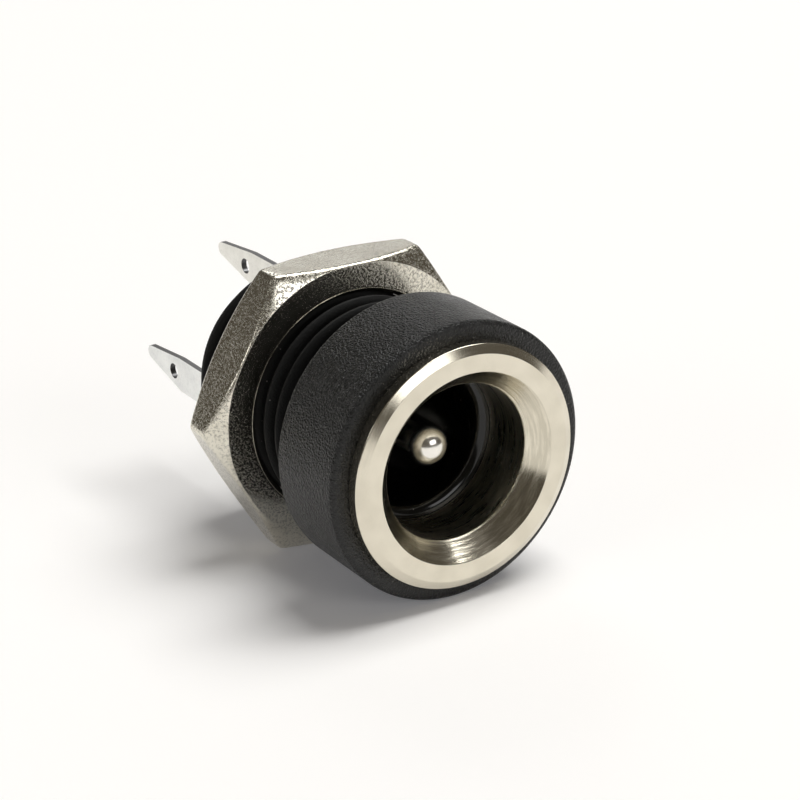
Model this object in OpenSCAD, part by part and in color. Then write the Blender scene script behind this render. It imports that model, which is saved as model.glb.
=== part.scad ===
// Panel-mount dc power jack for a 5.5 x 2.1 mm barrel plug.
// The axis of the jack lies along Y: the socket opens towards -Y, the solder tags point to +Y.
// The origin is on the axis, in the plane of the head's rear face, where the panel seats.

/* [Head] */
// Diameter of the round head that stays in front of the panel
head_d = 13.4; // [12.5:0.1:16]
// Thickness of the head along the axis
head_t = 4.6; // [4:0.1:7]
// Radius of the head's front edge
head_edge_r = 0.25; // [0.1:0.05:0.4]

/* [Threaded barrel] */
// Outside diameter over the thread crests
thread_d = 10.8; // [10.4:0.1:12]
// Length of the barrel behind the panel seat
barrel_l = 10.4; // [9.5:0.1:14]
// Length of the plain neck between the head and the thread
neck_l = 0.7; // [0.4:0.1:1.5]
// Depth of the thread, and of the neck, below the crests
thread_depth = 0.5; // [0.3:0.05:0.6]
// Distance from one crest of the thread to the next
thread_pitch = 1; // [0.75:0.25:1.5]
// Chamfer at the rear end of the barrel
lead_chamfer = 0.5; // [0.2:0.1:0.8]

/* [Socket] */
// Diameter of the moulded socket that takes the plug's sleeve
socket_d = 6.3; // [6:0.1:6.6]
// Depth of the socket, from the front of the bush to the rear base
socket_depth = 11.8; // [11:0.1:12.5]
// Radius of the rounded lip where the socket starts
lip_r = 0.6; // [0.3:0.05:0.8]

/* [Front bush] */
// Diameter of the bush's flange
flange_d = 11.7; // [11:0.1:12.2]
// Thickness of the flange in front of the head
flange_t = 0.8; // [0.5:0.1:1.5]
// Chamfer around the flange, across its face
flange_chamfer = 0.42; // [0.2:0.02:0.6]
// Depth of that chamfer along the side of the flange
flange_chamfer_l = 0.22; // [0.1:0.02:0.4]
// Diameter of the funnel at the front face
mouth_d = 9.2; // [8.6:0.1:9.6]
// Inside diameter of the bush's sleeve
throat_d = 7.5; // [7:0.1:7.8]
// Depth of the funnel
funnel_l = 0.95; // [0.5:0.05:1.2]
// Depth of the whole bush, from its front face to the end of its sleeve
bush_l = 3.7; // [3:0.1:4.5]
// Wall of the bush's sleeve
bush_wall = 0.45; // [0.3:0.05:0.6]

/* [Centre pin] */
// Diameter of the pin that enters the plug
pin_d = 2.0; // [1.65:0.05:2.5]
// How far the tip of the pin stands behind the bush's front face
pin_recess = 2.45; // [1:0.05:3.5]
// Diameter of the pin's shoulder on the rear base
shoulder_d = 3.4; // [3:0.1:4.4]
// Thickness of that shoulder
shoulder_t = 0.6; // [0.4:0.1:1]
// Diameter of the stem that passes through the rear base
stem_d = 1.6; // [1.2:0.1:1.8]
// Diameter of the riveted head behind the pin's tag
rivet_d = 2.6; // [2.2:0.1:3]
// Height of the riveted head
rivet_h = 0.4; // [0.2:0.05:0.6]

/* [Rear base] */
// Diameter of the insulating base pressed into the barrel
base_d = 8.7; // [8.6:0.05:8.8]
// How far the base stands inside the rear end of the barrel
base_recess = 0.3; // [0.1:0.05:0.6]

/* [Contacts and solder tags] */
// Thickness of the contact strip
strip_t = 0.3; // [0.2:0.05:0.35]
// Width of a solder tag where it leaves the base
tag_w = 1.8; // [1.4:0.1:1.9]
// Width of a solder tag at its round tip
tag_tip_w = 0.7; // [0.6:0.05:1.4]
// Length over which a solder tag narrows to its tip
tag_taper_l = 3.5; // [2:0.1:5]
// How far the tip stands above the tag's middle line
tag_tip_rise = 0.25; // [0:0.05:0.4]
// Length of the outer solder tags behind the barrel
tag_l = 8.3; // [5:0.1:10]
// Length of the pin's solder tag behind the barrel
pin_tag_l = 7.4; // [4:0.1:9]
// Diameter of the wire hole in each tag
wire_hole_d = 0.8; // [0.5:0.05:0.85]
// Distance from a tag's tip to the centre of its wire hole
wire_hole_inset = 2.8; // [1.8:0.1:3.4]
// Width of the sleeve spring
spring_w = 1.8; // [1.4:0.1:2]
// Gap between the facing crests of the spring and the far wall of the socket, for the plug
spring_bite = 0.55; // [0.3:0.05:0.7]

/* [Hex nut] */
// Width across the flats
nut_af = 14; // [13:0.5:17]
// Thickness of the nut
nut_t = 2.5; // [1.5:0.1:3.5]
// Distance from the panel seat to the nut as it stands on the thread
nut_gap = 4; // [0:0.1:6]
// Countersink at both ends of the nut's hole
nut_sink = 0.25; // [0.1:0.05:0.4]
// Gap between the thread crests and the nut's hole, per side
nut_clearance = 0.05; // [0.02:0.01:0.1]

/* [Hidden] */
$fn = 96;
EPS = 0.01;
// Planes across the axis, as Y values
bush_y = -(head_t + flange_t);
throat_y = bush_y + funnel_l;
bush_end_y = bush_y + bush_l;
socket_y = bush_end_y + lip_r;
base_y = bush_y + socket_depth;
base_end_y = barrel_l - base_recess;
tip_y = bush_y + pin_recess;
// Radii about the axis
neck_r = thread_d / 2 - thread_depth;
socket_r = socket_d / 2;
bush_r = throat_d / 2 + bush_wall;
base_r = base_d / 2;
stem_r = stem_d / 2;
// The switch arm lies just outside the socket, and the sleeve spring rests on it
slot_gap = 0.1;
arm_in_r = socket_r + slot_gap;
arm_r = arm_in_r + strip_t;
arm_y = socket_y + 1.3;
arm_w = 0.8;
// The sleeve strip lies flat along the top of the socket; its outer corners reach the base's rim
strip_x = base_r * 0.26;
strip_top = sqrt(base_r * base_r - strip_x * strip_x) - 0.05;
strip_z = strip_top - strip_t;
spring_z = socket_r - spring_bite;
// The switch strip stands upright on the left of the socket
switch_x = -arm_r;
switch_low = -(sqrt(base_r * base_r - arm_r * arm_r) - 0.05);
// The pin's tag is folded up beside the rivet
pin_tag_x = stem_r + 1.1;

// Turns what was drawn along +Z so that it points to +Y.
module along_y() {
    rotate([-90, 0, 0]) children();
}

// A turned solid about the Y axis from a profile of [radius, y] points.
module turned() {
    along_y() rotate_extrude() children();
}

// A sector of a disc that reaches from angle a0 to a1, measured from +X towards +Z.
module sector(r, a0, a1) {
    steps = 8;
    reach = r / cos((a1 - a0) / steps / 2);
    intersection() {
        circle(r);
        polygon(concat([[0, 0]], [for (i = [0 : steps]) let (a = a0 + (a1 - a0) * i / steps)
            reach * [cos(a), sin(a)]]));
    }
}

// Extrudes an outline drawn in X and Z from y0 to y1.
module cross_section(y0, y1) {
    translate([0, y1, 0]) rotate([90, 0, 0]) linear_extrude(y1 - y0) children();
}

// Extrudes an outline drawn in Y and Z from x0 to x1.
module side_profile(x0, x1) {
    translate([x0, 0, 0]) rotate([90, 0, 90]) linear_extrude(x1 - x0) children();
}

// The outline of a strip that follows a bent path, its thickness to the right of the path.
function unit(v) = v / norm(v);
function right_of(v) = [v.y, -v.x];
function corner_shift(path, i, t) = let (
    last = len(path) - 1,
    before = unit(i == 0 ? path[1] - path[0] : path[i] - path[i - 1]),
    after = unit(i == last ? path[last] - path[last - 1] : path[i + 1] - path[i]),
    middle = unit(right_of(before) + right_of(after))
) middle * t / (middle * right_of(before));
module bent_strip(path, t) {
    last = len(path) - 1;
    polygon(concat(path, [for (i = [last : -1 : 0]) path[i] + corner_shift(path, i, t)]));
}

// A solder tag in Y and Z: straight from its root at y = 0, then narrower up to a round tip that
// stands a little high, with a wire hole on its middle line.
module tag_outline(l) {
    tip_r = tag_tip_w / 2;
    tip = [l - tip_r, tag_tip_rise];
    difference() {
        union() {
            polygon([
                [0, -tag_w / 2], [l - tag_taper_l, -tag_w / 2], tip - [0, tip_r],
                tip + [0, tip_r], [l - tag_taper_l, tag_w / 2], [0, tag_w / 2]
            ]);
            translate(tip) circle(tip_r);
        }
        translate([l - wire_hole_inset, 0]) circle(d = wire_hole_d);
    }
}

// The moulded body: round head, neck and threaded barrel in one piece, with the stepped socket,
// the side chamber that holds the contacts and the seat of the rear base.
module housing() {
    color([0.09, 0.09, 0.095]) difference() {
        union() {
            turned() {
                head_profile();
                square([neck_r, barrel_l]);
            }
            thread();
        }
        turned() bore_profile();
        contact_chamber();
    }
}

module head_profile() {
    r = head_d / 2;
    translate([0, -head_t + head_edge_r]) square([r, head_t - head_edge_r]);
    translate([0, -head_t]) square([r - head_edge_r, head_edge_r]);
    translate([r - head_edge_r, -head_t + head_edge_r]) circle(head_edge_r);
}

// The thread: a ridge with 60 degree flanks, swept on a helix of one turn for each pitch, its ends
// trimmed to the neck and to the lead chamfer.
function on_helix(r, y, turns) = [
    r * sin(360 * turns), y + thread_pitch * turns, r * cos(360 * turns)
];
module thread_ridge() {
    sunk = 0.1;
    crest = thread_pitch / 8 / 2;
    foot = crest + (thread_depth + sunk) * tan(30);
    ridge = [[neck_r - sunk, -foot], [neck_r - sunk, foot], [thread_d / 2, crest], [thread_d / 2, -crest]];
    parts = 36;
    turns = ceil((barrel_l - neck_l) / thread_pitch) + 1;
    last = parts * turns;
    polyhedron(
        points = [for (i = [0 : last], p = ridge) on_helix(p.x, neck_l - thread_pitch + p.y, i / parts)],
        faces = concat(
            [[0, 1, 2, 3], [for (k = [3 : -1 : 0]) 4 * last + k]],
            [for (i = [0 : last - 1], k = [0 : 3], half = [0, 1])
                let (a = 4 * i + k, b = 4 * i + (k + 1) % 4)
                half == 0 ? [a, a + 4, b + 4] : [a, b + 4, b]]
        )
    );
}
module thread() {
    wide = thread_d / 2 + 1;
    intersection() {
        thread_ridge();
        turned() polygon([
            [0, neck_l], [neck_r, neck_l], [wide, neck_l + wide - neck_r],
            [wide, barrel_l - wide + thread_d / 2 - lead_chamfer], [thread_d / 2 - lead_chamfer, barrel_l],
            [0, barrel_l]
        ]);
    }
}

module bore_profile() {
    past = 1;
    translate([0, -head_t - past]) square([bush_r, bush_end_y + head_t + past]);
    difference() {
        translate([0, bush_end_y - EPS]) square([socket_r + lip_r, lip_r + EPS]);
        translate([socket_r + lip_r, socket_y]) circle(lip_r);
    }
    translate([0, socket_y - EPS]) square([socket_r, base_y - socket_y + 2 * EPS]);
    translate([0, base_y]) square([base_r, barrel_l - base_y + past]);
}

// The chamber runs from the seat of the base to just in front of the switch arm.
module contact_chamber() {
    front = arm_y - slot_gap;
    cross_section(front, base_y + EPS) {
        sector(arm_r + slot_gap, 60, 192);
        translate([-strip_x - slot_gap, 0]) square([2 * (strip_x + slot_gap), strip_top + slot_gap]);
        translate([switch_x - slot_gap, switch_low - slot_gap])
            square([arm_r, tag_w + 2 * slot_gap]);
        translate([switch_x - slot_gap, switch_low]) square([strip_t + 2 * slot_gap, -switch_low]);
    }
}

// The turned metal bush: a chamfered flange with a funnel, and a sleeve set into the head.
module front_bush() {
    color([0.80, 0.76, 0.69]) turned() polygon([
        [mouth_d / 2, bush_y],
        [flange_d / 2 - flange_chamfer, bush_y],
        [flange_d / 2, bush_y + flange_chamfer_l],
        [flange_d / 2, -head_t],
        [bush_r, -head_t],
        [bush_r, bush_end_y],
        [throat_d / 2, bush_end_y],
        [throat_d / 2, throat_y]
    ]);
}

// The turned pin: domed tip, shank, shoulder, stem and riveted tail.
module centre_pin() {
    tip_r = pin_d / 2;
    rivet_y = base_end_y + strip_t;
    color([0.78, 0.76, 0.72]) turned() {
        intersection() {
            translate([0, tip_y + tip_r]) circle(tip_r);
            translate([0, tip_y]) square([tip_r, tip_r + EPS]);
        }
        translate([0, tip_y + tip_r]) square([tip_r, base_y - tip_y - tip_r]);
        translate([0, base_y - shoulder_t]) square([shoulder_d / 2, shoulder_t]);
        translate([0, base_y]) square([stem_r, rivet_y - base_y]);
        polygon([
            [0, rivet_y], [rivet_d / 2, rivet_y], [rivet_d / 2, rivet_y + rivet_h * 0.4],
            [rivet_d / 2 * 0.7, rivet_y + rivet_h], [0, rivet_y + rivet_h]
        ]);
    }
}

// The insulating base: it closes the barrel, carries the pin and clamps both strips in notches.
module rear_base() {
    past = 1;
    color([0.07, 0.07, 0.075]) difference() {
        turned() polygon([[stem_r, base_y], [base_r, base_y], [base_r, base_end_y], [stem_r, base_end_y]]);
        translate([-strip_x, base_y - past, strip_z])
            cube([2 * strip_x, base_end_y - base_y + 2 * past, base_r]);
        translate([switch_x - base_r, base_y - past, switch_low])
            cube([base_r + strip_t, base_end_y - base_y + 2 * past, tag_w]);
    }
}

// The pin's tag: an eye under the riveted head, folded up into a solder tag.
module pin_tag() {
    color([0.74, 0.73, 0.70]) difference() {
        union() {
            cross_section(base_end_y, base_end_y + strip_t) {
                circle(rivet_d / 2 + 0.3);
                translate([0, -tag_w / 2]) square([pin_tag_x, tag_w]);
            }
            translate([0, base_end_y, 0]) side_profile(pin_tag_x - strip_t, pin_tag_x)
                tag_outline(barrel_l + pin_tag_l - base_end_y);
        }
        cross_section(base_end_y - 1, base_end_y + 1) circle(stem_r);
    }
}

// The sleeve contact: a leaf spring bowed into the socket, a flat strip through the base, and a
// solder tag folded down from the strip's edge.
module sleeve_contact() {
    crest_y = arm_y + arm_w + 1.9;
    color([0.76, 0.74, 0.68]) {
        side_profile(-spring_w / 2, spring_w / 2) bent_strip([
            [arm_y, arm_r + strip_t],
            [arm_y + arm_w + 0.2, arm_r + strip_t],
            [crest_y, spring_z + strip_t],
            [crest_y + 0.7, spring_z + strip_t],
            [base_y - 1.2, strip_top],
            [base_y, strip_top]
        ], strip_t);
        translate([-strip_x, base_y, strip_z]) cube([2 * strip_x, base_end_y - base_y + strip_t, strip_t]);
        translate([0, base_end_y, strip_top - tag_w / 2]) side_profile(strip_x - strip_t, strip_x)
            tag_outline(barrel_l + tag_l - base_end_y);
    }
}

// The switch contact: an arm that curves round the socket under the tip of the sleeve spring, a
// strip along the left wall and a solder tag in line with it.
module switch_contact() {
    color([0.74, 0.73, 0.70]) {
        cross_section(arm_y, arm_y + arm_w) difference() {
            union() {
                sector(arm_r, 70, 180);
                translate([switch_x, switch_low]) square([arm_r, -switch_low]);
            }
            circle(arm_in_r);
            translate([-arm_in_r, switch_low - 1]) square([arm_r, 1 - switch_low]);
        }
        translate([switch_x, arm_y, switch_low]) cube([strip_t, base_end_y - arm_y, tag_w]);
        translate([0, base_end_y, switch_low + tag_w / 2]) side_profile(switch_x, switch_x + strip_t)
            tag_outline(barrel_l + tag_l - base_end_y);
    }
}

// The hexagon nut: flats above and below, corners chamfered on both faces.
module hex_nut() {
    face_r = nut_af / 2 - 0.05;
    corner_r = nut_af / sqrt(3);
    bevel = (corner_r - face_r) * tan(30);
    hole_r = thread_d / 2 + nut_clearance;
    color([0.76, 0.73, 0.67]) difference() {
        intersection() {
            cross_section(nut_gap, nut_gap + nut_t) circle(r = corner_r, $fn = 6);
            turned() polygon([
                [0, nut_gap], [face_r, nut_gap], [corner_r, nut_gap + bevel],
                [corner_r, nut_gap + nut_t - bevel], [face_r, nut_gap + nut_t], [0, nut_gap + nut_t]
            ]);
        }
        turned() polygon([
            [0, nut_gap - EPS], [hole_r + nut_sink + EPS, nut_gap - EPS], [hole_r, nut_gap + nut_sink],
            [hole_r, nut_gap + nut_t - nut_sink], [hole_r + nut_sink + EPS, nut_gap + nut_t + EPS],
            [0, nut_gap + nut_t + EPS]
        ]);
    }
}

housing();
front_bush();
centre_pin();
rear_base();
pin_tag();
sleeve_contact();
switch_contact();
hex_nut();
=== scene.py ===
"""Panel-mount dc power jack: the fine forms and finishes of the real piece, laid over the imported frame.

The jack's axis lies along Y, its socket opens towards -Y and its solder tags point to +Y.
"""
import math

import bpy
import numpy as np
from mathutils import Matrix, Vector


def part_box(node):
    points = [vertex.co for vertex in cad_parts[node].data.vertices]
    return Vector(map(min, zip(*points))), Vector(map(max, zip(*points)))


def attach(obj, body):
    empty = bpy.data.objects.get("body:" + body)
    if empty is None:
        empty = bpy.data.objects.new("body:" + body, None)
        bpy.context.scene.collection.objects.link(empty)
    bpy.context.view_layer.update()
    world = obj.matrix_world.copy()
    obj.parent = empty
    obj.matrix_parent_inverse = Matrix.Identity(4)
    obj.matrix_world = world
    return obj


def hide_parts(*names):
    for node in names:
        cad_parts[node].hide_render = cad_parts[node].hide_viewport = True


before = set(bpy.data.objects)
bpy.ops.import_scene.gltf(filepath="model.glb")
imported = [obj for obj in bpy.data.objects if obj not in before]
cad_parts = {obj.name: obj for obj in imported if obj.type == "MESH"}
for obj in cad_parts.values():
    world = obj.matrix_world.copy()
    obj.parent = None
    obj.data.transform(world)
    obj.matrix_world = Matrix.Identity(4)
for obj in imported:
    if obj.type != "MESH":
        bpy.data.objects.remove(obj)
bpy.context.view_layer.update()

MM = 0.001

# ---------------------------------------------------------------- sizes, in millimetres


def low(node):
    """The lowest corner of a node's box, in millimetres."""
    return np.array(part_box(node)[0]) / MM


def high(node):
    """The highest corner of a node's box, in millimetres."""
    return np.array(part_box(node)[1]) / MM


# Planes across the axis, as Y values; the head's rear face is at 0
HEAD_FRONT = low("housing")[1]
BARREL_END = high("housing")[1]
BUSH_FRONT = low("front_bush")[1]
BUSH_END = high("front_bush")[1]
BASE_FRONT = low("rear_base")[1]
BASE_END = high("rear_base")[1]
PIN_TIP = low("centre_pin")[1]
PIN_END = high("centre_pin")[1]
NUT_FRONT = low("hex_nut")[1]
NUT_BACK = high("hex_nut")[1]
ARM_FRONT = low("switch_contact")[1]

# Radii about the axis
HEAD_R = high("housing")[0]
FLANGE_R = high("front_bush")[0]
BASE_R = high("rear_base")[0]
SHOULDER_R = high("centre_pin")[0]
NUT_APOTHEM = high("hex_nut")[2]
THREAD_R = 5.4
NECK_R = 4.9
SOCKET_R = 3.15
LIP_R = 0.6
THROAT_R = 3.75
BUSH_R = 4.2
MOUTH_R = 4.6
PIN_R = 1.0
STEM_R = 0.8
RIVET_R = 1.3

# Other sizes of the moulding, the bush, the pin, the nut and the contacts
NECK_L = 0.7
PITCH = 1.0
LEAD_CHAMFER = 0.5
HEAD_EDGE = 0.25
FUNNEL_L = 0.95
FLANGE_CHAMFER = 0.42
FLANGE_CHAMFER_L = 0.22
SHOULDER_T = 0.6
RIVET_H = 0.4
NUT_HOLE_R = 5.45
NUT_SINK = 0.25
NUT_FACE_R = NUT_APOTHEM - 0.05
NUT_CHAMFER = math.radians(30)
STRIP_T = 0.3
TAG_W = 1.8
SLOT_GAP = 0.1
HALF_STRIP_W = 0.26 * BASE_R
ARM_POCKET = 2 * SLOT_GAP + STRIP_T
# Where the arm's pocket starts and stops, in degrees from +X towards +Z
ARM_START = 60
ARM_STOP = 192

# ---------------------------------------------------------------- surfaces


def rounded(points, radii, steps=4, hold=0.5):
    """A profile whose corners are arcs, as an (n, 2) array of [radius, y].

    At a corner with unit directions a and b to its neighbours and half angle h between them, the arc
    touches both edges at r / tan(h) from the corner, and its centre lies r / sin(h) along a + b.
    A further point hold * r beyond each end of the arc keeps the flat next to it flat.
    """
    points = np.asarray(points, float)
    out = []
    last = len(points)
    for i, r in enumerate(radii):
        p = points[i]
        if r == 0:
            out.append(p)
            continue
        a = points[i - 1] - p
        b = points[(i + 1) % last] - p
        a = a / np.linalg.norm(a)
        b = b / np.linalg.norm(b)
        half = math.acos(np.clip(a @ b, -1, 1)) / 2
        reach = r / math.tan(half)
        middle = (a + b) / np.linalg.norm(a + b)
        centre = p + middle * r / math.sin(half)
        start = p + a * reach - centre
        end = p + b * reach - centre
        turn = math.atan2(start[0] * end[1] - start[1] * end[0], start @ end)
        angles = np.linspace(0, turn, steps + 1)
        arc = centre + np.stack([start[0] * np.cos(angles) - start[1] * np.sin(angles),
                                 start[0] * np.sin(angles) + start[1] * np.cos(angles)], axis=1)
        out.append(p + a * (reach + hold * r))
        out.extend(arc)
        out.append(p + b * (reach + hold * r))
    return np.array(out)


def surface(name, grid, closed=True):
    """A smooth piece at the origin over a grid of points in millimetres, with its faces outwards.

    The columns of the grid join up. A closed grid's rows run back to the first; otherwise each of the
    two end rows becomes the single point that it starts with.
    """
    body = grid if closed else grid[1:-1]
    points = body.reshape(-1, 3)
    index = np.arange(len(points)).reshape(body.shape[:2])
    here, ahead = (index, np.roll(index, -1, axis=0)) if closed else (index[:-1], index[1:])
    corners = [here, np.roll(here, -1, axis=1), np.roll(ahead, -1, axis=1), ahead]
    faces = np.stack(corners, axis=-1).reshape(-1, 4).tolist()
    if not closed:
        points = np.concatenate([points, grid[0, :1], grid[-1, :1]])
        start, end = index[0], index[-1]
        first, last = np.full_like(start, len(points) - 2), np.full_like(end, len(points) - 1)
        faces += np.stack([first, np.roll(start, -1), start], axis=-1).tolist()
        faces += np.stack([last, end, np.roll(end, -1)], axis=-1).tolist()
    mesh = bpy.data.meshes.new(name)
    mesh.from_pydata((points * MM).tolist(), [], faces)
    mesh.calc_loop_triangles()
    corners = np.empty(3 * len(mesh.loop_triangles), np.int32)
    mesh.loop_triangles.foreach_get("vertices", corners)
    a, b, c = points[corners.reshape(-1, 3)].transpose(1, 0, 2)
    if np.einsum("ij,ij->", a, np.cross(b, c)) < 0:
        mesh.flip_normals()
    mesh.polygons.foreach_set("use_smooth", np.ones(len(mesh.polygons), bool))
    mesh.update()
    piece = bpy.data.objects.new(name, mesh)
    bpy.context.scene.collection.objects.link(piece)
    return piece


def column_angles(columns):
    """The angle of each column from +Z towards +X."""
    return np.arange(columns) * 2 * math.pi / columns


def turned(name, rows, columns, closed=True):
    """A surface of revolution about Y, as x = r sin(t), z = r cos(t).

    Each row is a pair (r, y), where r is one radius or, where it also changes with the angle t, one
    radius for each column. Rows that aren't closed start and end on the axis.
    """
    t = column_angles(columns)
    radius = np.stack([np.broadcast_to(r, t.shape) for r, _ in rows])
    height = np.broadcast_to(np.array([[y] for _, y in rows]), radius.shape)
    return surface(name, np.stack([radius * np.sin(t), height, radius * np.cos(t)], axis=-1), closed)


def ripple(angle, seed, waves):
    """A closed wavy line round the axis, from -1 to 1: a sum of sines with seeded phases."""
    rng = np.random.default_rng(seed)
    total = np.zeros_like(angle)
    for n in waves:
        total += np.sin(n * angle + rng.uniform(0, 2 * math.pi)) * rng.uniform(0.5, 1)
    return total / len(waves)


# ---------------------------------------------------------------- the moulded body


def make_thread(parts=120):
    """The thread of the barrel: a ridge swept on a helix of one turn for each pitch.

    The path is x = r sin(2 pi n), z = r cos(2 pi n), y = y0 + pitch n, with n in turns. The profile has
    60 degree flanks, rounded crest edges and a foot sunk in the core. At the ends its radius is held
    down to a cone of 45 degrees at the neck and to the lead chamfer.
    """
    sunk = 0.1
    crest_round = 0.03
    half_crest = PITCH / 16
    half_foot = half_crest + (THREAD_R - NECK_R + sunk) * math.tan(math.pi / 6)
    corners = [
        [NECK_R - sunk, -half_foot],
        [THREAD_R, -half_crest],
        [THREAD_R, half_crest],
        [NECK_R - sunk, half_foot],
    ]
    ridge = rounded(corners, [0, crest_round, crest_round, 0], steps=3, hold=0.3)
    last_y = BARREL_END - 0.01
    turns = math.ceil((BARREL_END - NECK_L) / PITCH) + 1
    along = np.arange(parts * turns + 1)[:, None] / parts
    y = np.clip(NECK_L - PITCH + PITCH * along + ridge[:, 1], NECK_L, last_y)
    cone = np.minimum(NECK_R + y - NECK_L, THREAD_R - LEAD_CHAMFER + BARREL_END - y)
    r = np.maximum(np.minimum(ridge[:, 0], cone), NECK_R - sunk)
    turn = 2 * math.pi * along
    grid = np.stack([r * np.sin(turn), y, r * np.cos(turn)], axis=-1)
    return surface("barrel_thread", grid, closed=False)


def chamber_radius(angle):
    """Distance from the axis to the wall of the contact chamber along each ray.

    The wall is the farthest of the bore, a wide arc for the switch arm, a pocket above for the sleeve
    strip and two pockets on the left for the switch strip. A ray crosses a pocket's box from the farther
    of its near sides, enter, to the nearer of its far sides, leave. A box that starts more than a short
    reach behind the wall isn't open to the chamber.
    """
    x, z = np.sin(angle), np.cos(angle)
    polar = np.degrees(np.arctan2(z, x)) % 360
    wall = np.full_like(angle, SOCKET_R)
    wall = np.where((polar > ARM_START) & (polar < ARM_STOP), SOCKET_R + ARM_POCKET, wall)
    half_w = HALF_STRIP_W + SLOT_GAP
    top = high("sleeve_contact")[2] + SLOT_GAP
    left = low("switch_contact")[0] - SLOT_GAP
    bottom = low("switch_contact")[2] - SLOT_GAP
    pockets = [
        (-half_w, half_w, 0.0, top),
        (left, -SLOT_GAP, bottom, bottom + TAG_W + 2 * SLOT_GAP),
        (left, left + STRIP_T + 2 * SLOT_GAP, bottom, 0.0),
    ]
    tiny = 1e-9
    reach = 0.3
    dx = np.where(np.abs(x) < tiny, tiny, x)
    dz = np.where(np.abs(z) < tiny, tiny, z)
    for x0, x1, z0, z1 in pockets:
        enter = np.maximum(np.minimum(x0 / dx, x1 / dx), np.minimum(z0 / dz, z1 / dz))
        leave = np.minimum(np.maximum(x0 / dx, x1 / dx), np.maximum(z0 / dz, z1 / dz))
        met = (leave > enter) & (enter < wall + reach)
        wall = np.where(met, np.maximum(wall, leave), wall)
    return wall


def make_housing(columns=420):
    """Head, barrel core and stepped socket as one closed surface round the axis.

    Each row is a radius, or a ring of radii, at one Y: over the face and the side of the head, along
    the barrel to its end, then forwards through the bore to the seat of the bush.
    """
    angle = column_angles(columns)
    corners = [[BUSH_R, HEAD_FRONT], [HEAD_R, HEAD_FRONT], [HEAD_R, 0], [NECK_R, 0], [NECK_R, NECK_L]]
    outline = rounded(corners, [0, HEAD_EDGE, 0.07, 0.15, 0], steps=5)
    # The flash line dips into the rear rim of the head by an uneven depth
    flash_y = -0.03
    flash_w = 0.05
    flash_depth = 0.03 * (0.5 + 0.5 * ripple(angle, 3, (5, 9, 14, 23, 37, 58)))
    rows = []
    for r, y in outline[:-1]:
        near = math.exp(-((y - flash_y) / flash_w) ** 2) if r > HEAD_R - 0.1 else 0
        rows.append((r - near * flash_depth, y))
    rows += [(NECK_R, y) for y in np.linspace(NECK_L, BARREL_END - 0.1, 24)]
    corners = [[NECK_R, BARREL_END], [BASE_R, BARREL_END], [BASE_R, BASE_FRONT], [THROAT_R, BASE_FRONT]]
    recess = rounded(corners, [0, 0.06, 0.04, 0], steps=3)
    rows += list(recess[1:-1])
    seat_w = 0.06
    chamber = np.minimum(chamber_radius(angle), BASE_R - seat_w)
    chamber_front = ARM_FRONT - SLOT_GAP
    rows += [(chamber, y) for y in (BASE_FRONT, BASE_FRONT - 0.04, ARM_FRONT, chamber_front)]
    rows.append((SOCKET_R, chamber_front))
    for a in np.linspace(0, math.pi / 2, 9):
        rows.append((SOCKET_R + LIP_R * (1 - math.cos(a)), BUSH_END + LIP_R * (1 - math.sin(a))))
    rows += [(BUSH_R, BUSH_END), (BUSH_R, HEAD_FRONT + 0.1)]
    return turned("housing_moulding", rows, columns)


# ---------------------------------------------------------------- bush, pin and nut


def make_bush(columns=256):
    """The turned bush: a flange with a chamfer and a funnel, and a sleeve set in the head."""
    corners = [
        [MOUTH_R, BUSH_FRONT],
        [FLANGE_R - FLANGE_CHAMFER, BUSH_FRONT],
        [FLANGE_R, BUSH_FRONT + FLANGE_CHAMFER_L],
        [FLANGE_R, HEAD_FRONT],
        [BUSH_R, HEAD_FRONT],
        [BUSH_R, BUSH_END],
        [THROAT_R, BUSH_END],
        [THROAT_R, BUSH_FRONT + FUNNEL_L],
    ]
    profile = rounded(corners, [0.045, 0.04, 0.05, 0.03, 0.02, 0.04, 0.06, 0.12], steps=4)
    return turned("bush_turned", profile, columns)


def make_pin(columns=128):
    """The turned pin: a dome, a shank, a shoulder, a stem and a riveted tail, closed on the axis."""
    rise = np.linspace(0, math.pi / 2, 17)
    dome = np.stack([PIN_R * np.sin(rise), PIN_TIP + PIN_R * (1 - np.cos(rise))], axis=1)
    shank = PIN_TIP + PIN_R + 0.2
    rivet = BASE_END + STRIP_T
    rivet_edge = rivet + 0.4 * RIVET_H
    rivet_crown = 0.7 * RIVET_R
    corners = [
        [PIN_R, shank],
        [PIN_R, BASE_FRONT - SHOULDER_T],
        [SHOULDER_R, BASE_FRONT - SHOULDER_T],
        [SHOULDER_R, BASE_FRONT],
        [STEM_R, BASE_FRONT],
        [STEM_R, rivet],
        [RIVET_R, rivet],
        [RIVET_R, rivet_edge],
        [rivet_crown, PIN_END],
        [0, PIN_END],
    ]
    body = rounded(corners, [0, 0.06, 0.06, 0.05, 0.04, 0.02, 0.03, 0.12, 0.2, 0], steps=4)
    return turned("pin_turned", np.concatenate([dome, body]), columns, closed=False)


def nut_radius(angle, y):
    """Outside of the nut along each ray: a soft minimum of six flats and a 30 degree cone at each face.

    The soft minimum is the p-norm of the inverse distances, (sum d^-p)^(-1/p). It rounds every edge: the
    six corners a little, and the edge where a flat meets the cone more.
    """
    corner_p = 90
    edge_p = 70
    lift = 0.05
    tiny = 1e-9
    depth = min(y - NUT_FRONT, NUT_BACK - y)
    cone = NUT_FACE_R + lift + depth / math.tan(NUT_CHAMFER)
    flats = np.zeros_like(angle)
    for k in range(6):
        flats += (np.maximum(np.cos(angle - k * math.pi / 3), tiny) / NUT_APOTHEM) ** corner_p
    hexagon = flats ** (-1 / corner_p)
    return (hexagon ** -edge_p + cone ** -edge_p) ** (-1 / edge_p)


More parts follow.
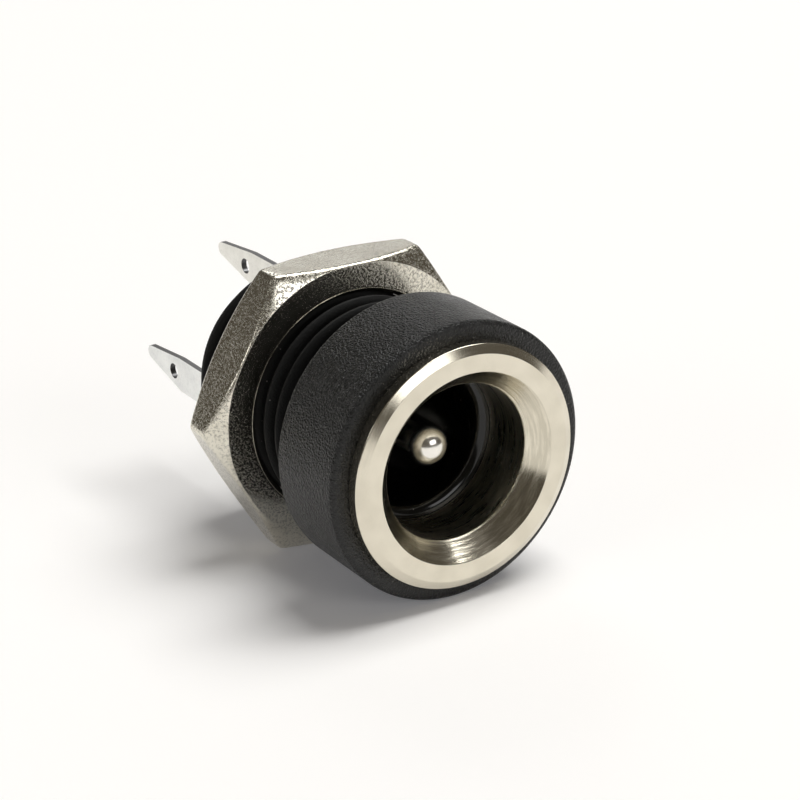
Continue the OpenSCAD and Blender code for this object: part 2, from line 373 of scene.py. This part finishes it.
def make_nut(columns=480):
    """The hexagon nut, with chamfered corners, softly worn edges and a countersunk hole."""
    angle = column_angles(columns)
    deep = (NUT_APOTHEM / math.cos(math.pi / 6) - NUT_FACE_R) * math.tan(NUT_CHAMFER) + 0.1
    step = np.linspace(0, 1, 26) ** 1.3 * deep
    side = np.concatenate([NUT_FRONT + step, [(NUT_FRONT + NUT_BACK) / 2], (NUT_BACK - step)[::-1]])
    sink_r = NUT_HOLE_R + NUT_SINK
    face = nut_radius(angle, NUT_FRONT)
    # Rings close to the edges keep the faces flat
    rows = [(sink_r + 0.03, NUT_FRONT), (sink_r + 0.08, NUT_FRONT), (face - 0.12, NUT_FRONT),
            (face - 0.05, NUT_FRONT + 0.001)]
    # The chamfer is drawn in a little where it meets a face
    draw_in = 0.012
    draw_w = 0.02
    for y in side:
        near = math.exp(-min(y - NUT_FRONT, NUT_BACK - y) / draw_w)
        rows.append((nut_radius(angle, y) - draw_in * near, y))
    rows += [(face - 0.05, NUT_BACK - 0.001), (face - 0.12, NUT_BACK), (sink_r + 0.08, NUT_BACK)]
    corners = [[sink_r, NUT_BACK], [NUT_HOLE_R, NUT_BACK - NUT_SINK], [NUT_HOLE_R, NUT_FRONT + NUT_SINK],
               [sink_r, NUT_FRONT]]
    hole = rounded(corners, [0.02, 0.03, 0.03, 0.02], steps=3, hold=0.4)
    rows += list(hole)
    return turned("nut_hexagon", rows, columns)


# ---------------------------------------------------------------- shader helpers


def node(tree, kind, inputs=None, **settings):
    """A shader node with its settings and its input values or links."""
    made = tree.nodes.new(kind)
    for key, value in settings.items():
        setattr(made, key, value)
    for key, value in (inputs or {}).items():
        if isinstance(value, bpy.types.NodeSocket):
            tree.links.new(value, made.inputs[key])
        else:
            made.inputs[key].default_value = value
    return made


def maths(tree, operation, *values, clamp=False):
    """The output of a Math node."""
    made = node(tree, "ShaderNodeMath", dict(enumerate(values)), operation=operation, use_clamp=clamp)
    return made.outputs[0]


def ramp(tree, value, low_in, high_in, low_out=0.0, high_out=1.0):
    """A value brought from one range to another, and held at its ends."""
    made = node(tree, "ShaderNodeMapRange", {"Value": value, "From Min": low_in, "From Max": high_in,
                                             "To Min": low_out, "To Max": high_out})
    return made.outputs["Result"]


def mix(tree, factor, a, b):
    """A colour between a and b."""
    made = node(tree, "ShaderNodeMix", data_type="RGBA")
    for socket, value in ((made.inputs[0], factor), (made.inputs[6], a), (made.inputs[7], b)):
        if isinstance(value, bpy.types.NodeSocket):
            tree.links.new(value, socket)
        else:
            socket.default_value = value
    return made.outputs[2]


def group(name, inputs, outputs):
    """An empty node group with float inputs and outputs; returns it with its two end nodes."""
    tree = bpy.data.node_groups.new(name, "ShaderNodeTree")
    for label, value in inputs.items():
        socket = tree.interface.new_socket(label, in_out="INPUT", socket_type="NodeSocketFloat")
        socket.default_value = value
    for label in outputs:
        tree.interface.new_socket(label, in_out="OUTPUT", socket_type="NodeSocketFloat")
    return tree, tree.nodes.new("NodeGroupInput"), tree.nodes.new("NodeGroupOutput")


def place_group(tree, shared, **inputs):
    """A node group placed in a material, with its own values."""
    made = tree.nodes.new("ShaderNodeGroup")
    made.node_tree = shared
    for key, value in inputs.items():
        made.inputs[key].default_value = value
    return made


def scaled(tree, place, times):
    """A place times a number."""
    return node(tree, "ShaderNodeVectorMath", {0: place, "Scale": times}, operation="SCALE").outputs[0]


def object_position(tree):
    """The place on the piece, in millimetres."""
    return scaled(tree, node(tree, "ShaderNodeTexCoord").outputs["Object"], 1 / MM)


def from_axis(tree, axes):
    """Distance from the jack's axis, from the three separate axes of a place."""
    return maths(tree, "SQRT", maths(tree, "ADD", maths(tree, "POWER", axes.outputs["X"], 2.0),
                                     maths(tree, "POWER", axes.outputs["Z"], 2.0)))


def make_grain_group():
    """Spark-eroded mould grain: the height of fine cells, a mask of their flecks and a coarser cloud."""
    tree, given, out = group("mould grain", {"Size": 1.0}, ["Height", "Fleck", "Cloud"])
    place = scaled(tree, object_position(tree), given.outputs["Size"])
    fine = node(tree, "ShaderNodeTexNoise", {"Vector": place, "Scale": 11.0, "Detail": 1.0,
                                             "Roughness": 0.6})
    cells = node(tree, "ShaderNodeTexVoronoi", {"Vector": place, "Scale": 10.0}, feature="SMOOTH_F1")
    cloud = node(tree, "ShaderNodeTexNoise", {"Vector": place, "Scale": 0.7, "Detail": 4.0})
    pebbles = maths(tree, "MULTIPLY", cells.outputs["Distance"], 0.8)
    tree.links.new(maths(tree, "ADD", fine.outputs["Fac"], pebbles), out.inputs["Height"])
    tree.links.new(ramp(tree, fine.outputs["Fac"], 0.56, 0.68), out.inputs["Fleck"])
    tree.links.new(cloud.outputs["Fac"], out.inputs["Cloud"])
    return tree


def make_turning_group():
    """Marks of the lathe tool: noise that changes fast with the radius and Y and slowly round the axis.

    Count is how fast it changes, in marks for each millimetre.
    """
    tree, given, out = group("turning marks", {"Count": 6.0}, ["Height", "Tone"])
    axes = node(tree, "ShaderNodeSeparateXYZ", {0: object_position(tree)})
    fine = maths(tree, "MULTIPLY", from_axis(tree, axes), given.outputs["Count"])
    along = maths(tree, "MULTIPLY", axes.outputs["Y"], given.outputs["Count"])
    slow = maths(tree, "MULTIPLY", maths(tree, "ADD", axes.outputs["X"], axes.outputs["Z"]), 0.7)
    place = node(tree, "ShaderNodeCombineXYZ", {0: fine, 1: along, 2: slow})
    marks = node(tree, "ShaderNodeTexNoise", {"Vector": place.outputs[0], "Scale": 1.0, "Detail": 4.0,
                                              "Roughness": 0.6})
    tree.links.new(marks.outputs["Fac"], out.inputs["Height"])
    tree.links.new(ramp(tree, marks.outputs["Fac"], 0.35, 0.65), out.inputs["Tone"])
    return tree


def make_wear_group():
    """Handling: fine pits, specks of dust, and a slow change of tone. Specks is how strong the dust is."""
    tree, given, out = group("handling wear", {"Specks": 1.0}, ["Dust", "Pits", "Tone"])
    place = object_position(tree)
    tone = node(tree, "ShaderNodeTexNoise", {"Vector": place, "Scale": 0.8, "Detail": 3.0})
    spots = node(tree, "ShaderNodeTexVoronoi", {"Vector": place, "Scale": 2.6})
    picked = node(tree, "ShaderNodeSeparateColor", {0: spots.outputs["Color"]})
    rare = maths(tree, "GREATER_THAN", picked.outputs[0], 0.72)
    dust = maths(tree, "MULTIPLY", ramp(tree, spots.outputs["Distance"], 0.11, 0.05), rare)
    dust = maths(tree, "MULTIPLY", dust, given.outputs["Specks"])
    pits = node(tree, "ShaderNodeTexNoise", {"Vector": place, "Scale": 8.0, "Detail": 3.0,
                                             "Roughness": 0.75})
    tree.links.new(dust, out.inputs["Dust"])
    tree.links.new(ramp(tree, pits.outputs["Fac"], 0.5, 0.68), out.inputs["Pits"])
    tree.links.new(tone.outputs["Fac"], out.inputs["Tone"])
    return tree


GRAIN = make_grain_group()
TURNING = make_turning_group()
WEAR = make_wear_group()


def new_material(name):
    """A material with an empty Principled shader; returns it, its tree and the shader."""
    material = bpy.data.materials.new(name)
    material.use_nodes = True
    tree = material.node_tree
    return material, tree, tree.nodes["Principled BSDF"]


def bump(tree, shader, height, strength, distance_mm):
    """A bump of that height on the shader."""
    made = node(tree, "ShaderNodeBump", {"Height": height, "Strength": strength,
                                         "Distance": distance_mm * MM})
    tree.links.new(made.outputs["Normal"], shader.inputs["Normal"])


def moulded_black():
    """Black moulding: strong grain on the head, plainer front face, matt barrel, glossy socket."""
    material, tree, shader = new_material("moulded_black")
    grain = place_group(tree, GRAIN, Size=1.0)
    wear = place_group(tree, WEAR, Specks=0.5)
    black, fleck_grey = (0.002, 0.0021, 0.0018, 1), (0.035, 0.036, 0.032, 1)
    rim_grey, dust_grey = (0.3, 0.3, 0.28, 1), (0.3, 0.3, 0.27, 1)
    socket_rough, head_rough, barrel_rough = 0.12, 0.32, 0.66
    # Masks of the outside, of the head, of its side and of its rear rim
    axes = node(tree, "ShaderNodeSeparateXYZ", {0: object_position(tree)})
    y = axes.outputs["Y"]
    across = from_axis(tree, axes)
    outside = ramp(tree, across, BUSH_R + 0.1, BUSH_R + 0.3)
    on_head = maths(tree, "MULTIPLY", ramp(tree, y, 0.02, -0.02), outside)
    behind_face = ramp(tree, y, HEAD_FRONT + 0.05, HEAD_FRONT + 0.2, 0.35, 1)
    on_side = maths(tree, "MULTIPLY", on_head, behind_face)
    rim = maths(tree, "MULTIPLY", maths(tree, "MULTIPLY", ramp(tree, y, -0.14, -0.04), on_head),
                ramp(tree, across, HEAD_R - 0.2, HEAD_R - 0.05))
    fleck = maths(tree, "MULTIPLY", grain.outputs["Fleck"], on_side)
    ragged = maths(tree, "MULTIPLY", rim, ramp(tree, grain.outputs["Fleck"], 0, 0.5, 0.15, 0.9))
    colour = mix(tree, fleck, black, fleck_grey)
    colour = mix(tree, ragged, colour, rim_grey)
    colour = mix(tree, wear.outputs["Dust"], colour, dust_grey)
    tree.links.new(colour, shader.inputs["Base Color"])
    rough = ramp(tree, outside, 0, 1, socket_rough, barrel_rough)
    rough = maths(tree, "ADD", rough, maths(tree, "MULTIPLY", on_head, head_rough - barrel_rough))
    rough = maths(tree, "ADD", rough, ramp(tree, grain.outputs["Cloud"], 0.3, 0.7, -0.03, 0.05))
    tree.links.new(rough, shader.inputs["Roughness"])
    shader.inputs["Specular IOR Level"].default_value = 0.4
    amount = maths(tree, "ADD", on_side, maths(tree, "MULTIPLY", outside, 0.12))
    bump(tree, shader, maths(tree, "MULTIPLY", grain.outputs["Height"], amount), 1.0, 0.1)
    return material


def insulating_black():
    """Black base: a plain half-matt moulding."""
    material, tree, shader = new_material("insulating_black")
    grain = place_group(tree, GRAIN, Size=1.6)
    colour = mix(tree, grain.outputs["Cloud"], (0.008, 0.008, 0.008, 1), (0.02, 0.02, 0.019, 1))
    tree.links.new(colour, shader.inputs["Base Color"])
    tree.links.new(ramp(tree, grain.outputs["Cloud"], 0.3, 0.7, 0.4, 0.55), shader.inputs["Roughness"])
    bump(tree, shader, grain.outputs["Height"], 0.4, 0.02)
    return material


def turned_nickel(name, dark, light, rough, funnel_r=0.0, sleeve_r=0.0):
    """Turned and plated metal with fine tool marks round the axis, between a dark and a light tone.

    The marks are clearer inside funnel_r, where the tone is also made darker as painted shade in the
    hollow, and the finish is satin inside sleeve_r.
    """
    material, tree, shader = new_material(name)
    shader.inputs["Metallic"].default_value = 1.0
    wear = place_group(tree, WEAR, Specks=0.0)
    marks = place_group(tree, TURNING, Count=6.0)
    across = from_axis(tree, node(tree, "ShaderNodeSeparateXYZ", {0: object_position(tree)}))
    funnel_marks_and_shade = ramp(tree, across, funnel_r + 0.02, funnel_r - 0.02)
    in_sleeve = ramp(tree, across, sleeve_r + 0.12, sleeve_r + 0.04)
    deep = maths(tree, "ADD", maths(tree, "MULTIPLY", funnel_marks_and_shade, 0.4),
                 maths(tree, "MULTIPLY", in_sleeve, 0.6))
    tone = maths(tree, "MULTIPLY", maths(tree, "SUBTRACT", marks.outputs["Tone"], 0.5), funnel_marks_and_shade)
    tone = maths(tree, "ADD", ramp(tree, wear.outputs["Tone"], 0.3, 0.7, 0.3, 0.7), tone)
    # Painted shade: the tone is made darker inside funnel_r, over the funnel and the bore
    tone = maths(tree, "SUBTRACT", tone, maths(tree, "MULTIPLY", funnel_marks_and_shade, 0.3), clamp=True)
    tree.links.new(mix(tree, tone, (*dark, 1), (*light, 1)), shader.inputs["Base Color"])
    roughness = maths(tree, "ADD", ramp(tree, marks.outputs["Tone"], 0, 1, rough, rough + 0.06),
                      maths(tree, "MULTIPLY", in_sleeve, 0.1))
    tree.links.new(roughness, shader.inputs["Roughness"])
    height = maths(tree, "MULTIPLY", marks.outputs["Height"], maths(tree, "ADD", deep, 0.1))
    bump(tree, shader, height, 1.0, 0.015)
    return material


def plated_metal(name, dark, light, rough, grain, edge=None):
    """Plated metal with a fine grain, between a dark and a light tone.

    edge is a dark tone painted on a tag's edges as shade, told from its flat faces, which look along X.
    """
    material, tree, shader = new_material(name)
    shader.inputs["Metallic"].default_value = 1.0
    wear = place_group(tree, WEAR, Specks=0.0)
    dull = tuple(0.35 * c for c in dark)
    colour = mix(tree, ramp(tree, wear.outputs["Tone"], 0.3, 0.7), (*dark, 1), (*light, 1))
    colour = mix(tree, maths(tree, "MULTIPLY", wear.outputs["Pits"], grain), colour, (*dull, 1))
    # Painted shade: faces that don't look along X are darkened to the edge tone
    if edge:
        where = node(tree, "ShaderNodeTexCoord")
        facing = node(tree, "ShaderNodeSeparateXYZ", {0: where.outputs["Normal"]})
        flat = maths(tree, "ABSOLUTE", facing.outputs["X"])
        colour = mix(tree, ramp(tree, flat, 0.9, 0.5), colour, (*edge, 1))
    tree.links.new(colour, shader.inputs["Base Color"])
    tree.links.new(ramp(tree, wear.outputs["Pits"], 0, 1, rough, rough + 0.1), shader.inputs["Roughness"])
    bump(tree, shader, wear.outputs["Pits"], grain, 0.014)
    return material


def dress():
    """Makes the fine pieces, puts each on its body and gives every shown piece its finish."""
    bush_nickel = turned_nickel("nickel_turned", dark=(0.58, 0.54, 0.44), light=(0.82, 0.77, 0.65),
                                rough=0.16, funnel_r=MOUTH_R, sleeve_r=THROAT_R)
    nut_nickel = plated_metal("nickel_nut", dark=(0.66, 0.63, 0.54), light=(0.76, 0.73, 0.64),
                              rough=0.15, grain=0.55)
    pin_nickel = turned_nickel("nickel_pin", dark=(0.84, 0.82, 0.76), light=(0.92, 0.90, 0.85),
                               rough=0.16)
    # Painted shade on the edges of the tags
    painted_edge_shade = (0.12, 0.12, 0.12)
    tin = plated_metal("tinned_strip", dark=(0.76, 0.77, 0.76), light=(0.86, 0.87, 0.85),
                       rough=0.36, grain=0.12, edge=painted_edge_shade)
    spring = plated_metal("spring_strip", dark=(0.74, 0.73, 0.68), light=(0.84, 0.83, 0.78),
                          rough=0.34, grain=0.12, edge=painted_edge_shade)
    black = moulded_black()
    new_pieces = [
        (make_housing(), "jack", "housing", "housing", black),
        (make_thread(), "jack", "housing", "housing", black),
        (make_bush(), "jack", "front_bush", "bush", bush_nickel),
        (make_pin(), "jack", "centre_pin", "pin", pin_nickel),
        (make_nut(), "nut", "hex_nut", "nut", nut_nickel),
    ]
    for piece, body, stands_for, slot, finish in new_pieces:
        piece.data.materials.append(finish)
        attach(piece, body)
        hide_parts(stands_for)
    plain_pieces = [("rear_base", insulating_black()), ("pin_tag", tin), ("sleeve_contact", spring),
                    ("switch_contact", tin)]
    for name, finish in plain_pieces:
        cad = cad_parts[name]
        cad.data.materials.clear()
        cad.data.materials.append(finish)


dress()

# ---------------------------------------------------------------- camera, floor and light

# The camera, with lengths in millimetres
VIEW_AZIMUTH = math.radians(-33.17)
VIEW_ELEVATION = math.radians(22.76)
VIEW_ROLL = math.radians(-0.4)
VIEW_DISTANCE = 98.98
VIEW_TARGET = np.array([-3.645, -5.4, 4.226])
LENS = 103.34
SENSOR = 36.0


def make_camera():
    """A camera that looks at a point from an azimuth, an elevation and a distance."""
    ahead = np.array([-math.sin(VIEW_AZIMUTH) * math.cos(VIEW_ELEVATION),
                      math.cos(VIEW_AZIMUTH) * math.cos(VIEW_ELEVATION),
                      -math.sin(VIEW_ELEVATION)])
    right = np.array([math.cos(VIEW_AZIMUTH), math.sin(VIEW_AZIMUTH), 0.0])
    up = np.cross(right, ahead)
    turned_right = math.cos(VIEW_ROLL) * right + math.sin(VIEW_ROLL) * up
    turned_up = -math.sin(VIEW_ROLL) * right + math.cos(VIEW_ROLL) * up
    data = bpy.data.cameras.new("camera")
    data.lens = LENS
    data.sensor_width = SENSOR
    data.clip_start = 0.005
    data.clip_end = 10
    camera = bpy.data.objects.new("camera", data)
    bpy.context.scene.collection.objects.link(camera)
    axes = Matrix((turned_right, turned_up, -ahead)).transposed().to_4x4()
    camera.matrix_world = Matrix.Translation(Vector((VIEW_TARGET - ahead * VIEW_DISTANCE) * MM)) @ axes
    bpy.context.scene.camera = camera


def make_floor():
    """A wide white floor under the rim of the head and the lower flat of the nut."""
    head_point = np.array([HEAD_FRONT + HEAD_EDGE, -HEAD_R])
    nut_point = np.array([NUT_FRONT + 0.1, -NUT_APOTHEM])
    slope = (nut_point[1] - head_point[1]) / (nut_point[0] - head_point[0])
    half = 3000.0
    drop = 0.02  # keeps the floor just clear of the jack
    corners = [[x, y, head_point[1] + slope * (y - head_point[0]) - drop]
               for x, y in ((-half, -half), (half, -half), (half, half), (-half, half))]
    mesh = bpy.data.meshes.new("floor")
    mesh.from_pydata((np.array(corners) * MM).tolist(), [], [[0, 1, 2, 3]])
    floor = bpy.data.objects.new("floor", mesh)
    bpy.context.scene.collection.objects.link(floor)
    material, tree, shader = new_material("floor_white")
    shader.inputs["Base Color"].default_value = (0.96, 0.945, 0.92, 1)
    shader.inputs["Roughness"].default_value = 0.9
    shader.inputs["Specular IOR Level"].default_value = 0.1
    path = node(tree, "ShaderNodeLightPath")
    seen = maths(tree, "MAXIMUM", path.outputs["Is Camera Ray"], path.outputs["Is Glossy Ray"])
    tree.links.new(mix(tree, seen, (0, 0, 0, 1), (0.08, 0.082, 0.09, 1)), shader.inputs["Emission Color"])
    shader.inputs["Emission Strength"].default_value = 1.0
    mesh.materials.append(material)


# Lamps: name, direction from the jack, distance, width and height in metres, and radiance
PANELS = [
    ("panel_above", (0.36, -0.04, 0.93), 3.0, 1.5, 2.3, 7.5),
    ("panel_behind", (0.6, 0.74, 0.27), 3.0, 1.6, 2.1, 0.6),
    ("panel_back", (0.26, 0.77, 0.56), 2.5, 0.9, 0.8, 1.8),
    ("card_front", (0.14, -0.893, 0.423), 2.5, 1.35, 0.8, 2.6),
    ("card_left", (-0.77, -0.05, 0.34), 2.5, 1.2, 0.5, 2.4),
]


def make_panel(name, direction, distance, width, height, radiance):
    """A lamp that faces the jack; radiance is how bright its face is, with white as 1."""
    towards = Vector(direction).normalized()
    data = bpy.data.lights.new(name, "AREA")
    data.shape = "RECTANGLE"
    data.size = width
    data.size_y = height
    data.energy = radiance * math.pi * width * height
    lamp = bpy.data.objects.new(name, data)
    bpy.context.scene.collection.objects.link(lamp)
    lamp.location = towards * distance
    lamp.rotation_mode = "QUATERNION"
    lamp.rotation_quaternion = towards.to_track_quat("Z", "Y")
    lamp.visible_camera = False


def make_room():
    """A dim warm room that the camera sees as white."""
    world = bpy.data.worlds.new("room")
    bpy.context.scene.world = world
    world.use_nodes = True
    tree = world.node_tree
    back = tree.nodes["Background"]
    path = node(tree, "ShaderNodeLightPath")
    tree.links.new(mix(tree, path.outputs["Is Camera Ray"], (0.10, 0.09, 0.075, 1), (1, 1, 1, 1)),
                   back.inputs["Color"])


make_camera()
make_floor()
for panel in PANELS:
    make_panel(*panel)
make_room()
bpy.context.scene.view_settings.view_transform = "Standard"
